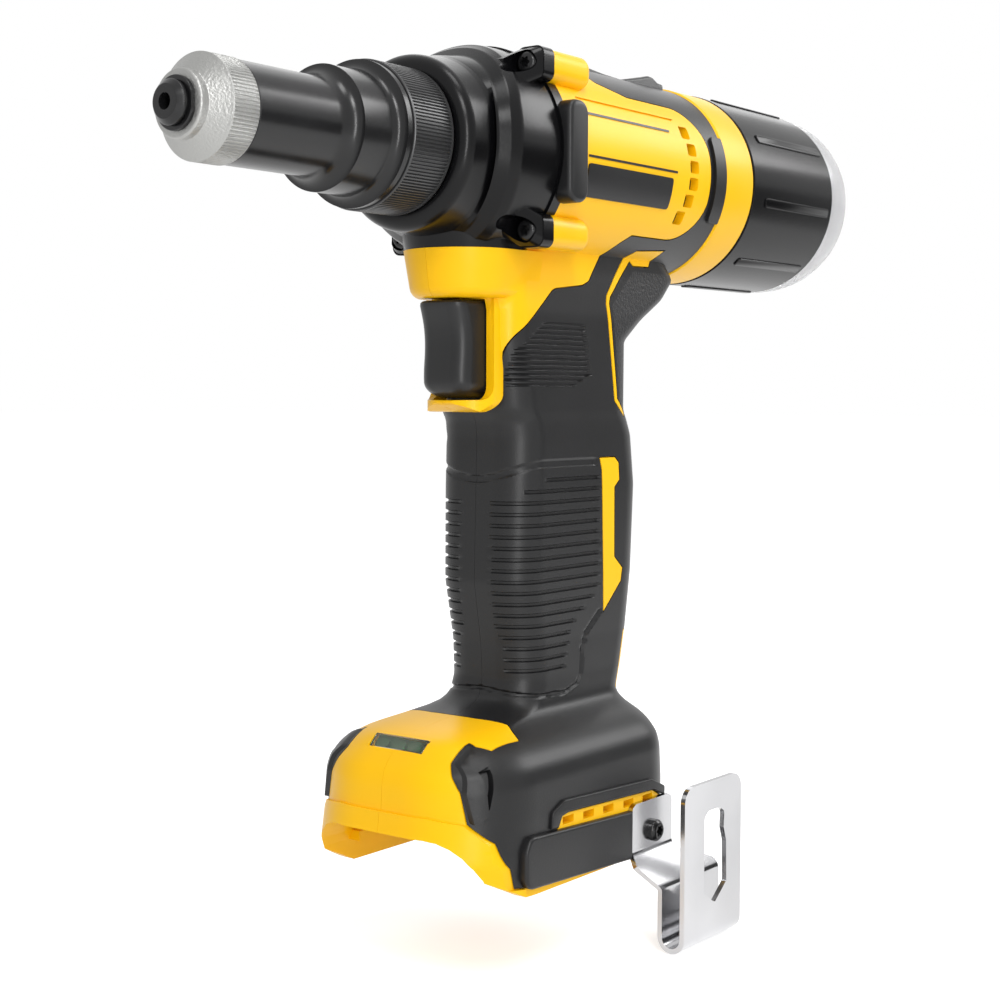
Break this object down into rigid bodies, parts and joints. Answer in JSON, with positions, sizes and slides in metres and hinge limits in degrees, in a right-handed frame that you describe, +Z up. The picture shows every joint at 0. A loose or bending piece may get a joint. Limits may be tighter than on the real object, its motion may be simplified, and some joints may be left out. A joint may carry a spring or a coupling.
{
  "type": "battery rivet tool",
  "caption": "Pistol-grip battery rivet tool: pulling nose with jaws, hollow motor and screw drive, sprung trigger, battery foot, belt hook and pull-off mandrel container.",
  "frame": {"origin": "centre of the nosepiece's front face, on the barrel axis", "axes": "+X rearwards along the barrel to the mandrel container, +Z up away from the foot, -Y to the tool's left side, where the belt hook is"},
  "size_m": [0.3146, 0.0909, 0.2759],
  "materials": {
    "bare_alloy": "sand-cast grain",
    "black_steel": "satin black coat",
    "gloss_black": "soft gloss black",
    "steel": "machined",
    "lamination": "laminated",
    "copper": "enamelled winding",
    "magnet": "ground",
    "board": "solder mask",
    "yellow_shell": "satin",
    "grip_rubber": "fine grain",
    "black_plastic": "satin",
    "smoked_plastic": "translucent",
    "seal_rubber": "smooth",
    "clear_lens": "clear",
    "wire": "insulation",
    "contact": "plated",
    "hook_steel": "polished strip"
  },
  "bodies": {
    "tool": {"nosepiece": "black_steel", "nose_cap": "bare_alloy", "nose_sleeve": "black_steel", "gearcase": "gloss_black", "gearcase_screws": "black_steel", "thrust_bearing": "steel", "nut_bearing": "steel", "ring_gear": "steel", "motor_bracket": "bare_alloy", "front_bearing": "steel", "stator_core": "lamination", "stator_coils": "copper", "sensor_board": "board", "rear_bearing": "steel", "mandrel_tube": "steel", "left_housing": "yellow_shell", "right_housing": "yellow_shell", "left_grip": "grip_rubber", "right_grip": "grip_rubber", "left_bumper": "grip_rubber", "right_bumper": "grip_rubber", "top_bumper": "grip_rubber", "left_label": "black_plastic", "right_label": "black_plastic", "housing_screws": "black_steel", "rear_ring": "yellow_shell", "trigger_spring": "steel", "trigger_switch": "black_plastic", "control_module": "black_plastic", "terminal_block": "black_plastic", "terminals": "contact", "light_lens": "clear_lens", "light_board": "board", "wiring": "wire", "belt_hook": "hook_steel", "hook_screw": "black_steel"},
    "lock_collar": {"lock_collar": "black_steel"},
    "rotor": {"rotor_shaft": "steel", "rotor_core": "lamination", "rotor_magnets": "magnet", "sun_gear": "steel", "fan": "black_plastic"},
    "carrier": {"planet_carrier": "steel", "planet_pins": "steel", "ball_nut": "steel"},
    "planet_1": {"planet_gear_1": "steel"},
    "planet_2": {"planet_gear_2": "steel"},
    "planet_3": {"planet_gear_3": "steel"},
    "puller": {"spindle": "steel", "pull_rod": "steel", "jaw_case": "steel", "jaw_spring": "steel"},
    "jaw_1": {"jaw_1": "steel"},
    "jaw_2": {"jaw_2": "steel"},
    "jaw_3": {"jaw_3": "steel"},
    "pusher": {"jaw_pusher": "steel"},
    "trigger": {"trigger": "black_plastic"},
    "container_lock": {"container_seal": "seal_rubber"},
    "container": {"mandrel_container": "smoked_plastic"}
  },
  "joints": [
    {"name": "collar_turn", "type": "hinge", "parent": "tool", "child": "lock_collar", "pos_m": [0.078, 0, 0], "axis": [1, 0, 0], "continuous": true},
    {"name": "rotor_spin", "type": "hinge", "parent": "tool", "child": "rotor", "pos_m": [0.15, 0, 0], "axis": [1, 0, 0], "range_deg": [0, 5660]},
    {"name": "carrier_spin", "type": "hinge", "parent": "tool", "child": "carrier", "pos_m": [0.112, 0, 0], "axis": [1, 0, 0], "range_deg": [0, 1801]},
    {"name": "planet_1_spin", "type": "hinge", "parent": "carrier", "child": "planet_1", "pos_m": [0.118, 0, 0.0165], "axis": [1, 0, 0], "range_deg": [-6752, 0]},
    {"name": "planet_2_spin", "type": "hinge", "parent": "carrier", "child": "planet_2", "pos_m": [0.118, -0.01429, -0.00825], "axis": [1, 0, 0], "range_deg": [-6752, 0]},
    {"name": "planet_3_spin", "type": "hinge", "parent": "carrier", "child": "planet_3", "pos_m": [0.118, 0.01429, -0.00825], "axis": [1, 0, 0], "range_deg": [-6752, 0]},
    {"name": "pull_stroke", "type": "slide", "parent": "tool", "child": "puller", "axis": [1, 0, 0], "range_m": [0, 0.025]},
    {"name": "jaw_1_grip", "type": "slide", "parent": "puller", "child": "jaw_1", "axis": [-0.9744, 0, -0.225], "range_m": [0, 0.0016]},
    {"name": "jaw_2_grip", "type": "slide", "parent": "puller", "child": "jaw_2", "axis": [-0.9744, 0.1948, 0.1125], "range_m": [0, 0.0016]},
    {"name": "jaw_3_grip", "type": "slide", "parent": "puller", "child": "jaw_3", "axis": [-0.9744, -0.1948, 0.1125], "range_m": [0, 0.0016]},
    {"name": "pusher_slide", "type": "slide", "parent": "puller", "child": "pusher", "axis": [-1, 0, 0], "range_m": [0, 0.00157], "deforming": ["jaw_spring"]},
    {"name": "trigger_slide", "type": "slide", "parent": "tool", "child": "trigger", "axis": [1, 0, 0], "range_m": [0, 0.0065], "stiffness_N_per_m": 1000, "springref_m": -0.004, "deforming": ["trigger_spring"]},
    {"name": "container_twist", "type": "hinge", "parent": "tool", "child": "container_lock", "pos_m": [0.2375, 0, 0], "axis": [1, 0, 0], "range_deg": [0, 45]},
    {"name": "container_pull", "type": "slide", "parent": "container_lock", "child": "container", "axis": [1, 0, 0], "range_m": [0, 0.09]}
  ],
  "couplings": [
    {"joint": "carrier_spin", "follows": "pull_stroke", "rad_per_m": 1256.6},
    {"joint": "planet_1_spin", "follows": "pull_stroke", "rad_per_m": -4712.4},
    {"joint": "planet_2_spin", "follows": "pull_stroke", "rad_per_m": -4712.4},
    {"joint": "planet_3_spin", "follows": "pull_stroke", "rad_per_m": -4712.4},
    {"joint": "rotor_spin", "follows": "pull_stroke", "rad_per_m": 3949.4},
    {"joint": "jaw_2_grip", "follows": "jaw_1_grip", "ratio": 1},
    {"joint": "jaw_3_grip", "follows": "jaw_1_grip", "ratio": 1},
    {"joint": "pusher_slide", "follows": "jaw_1_grip", "ratio": 0.97437}
  ]
}
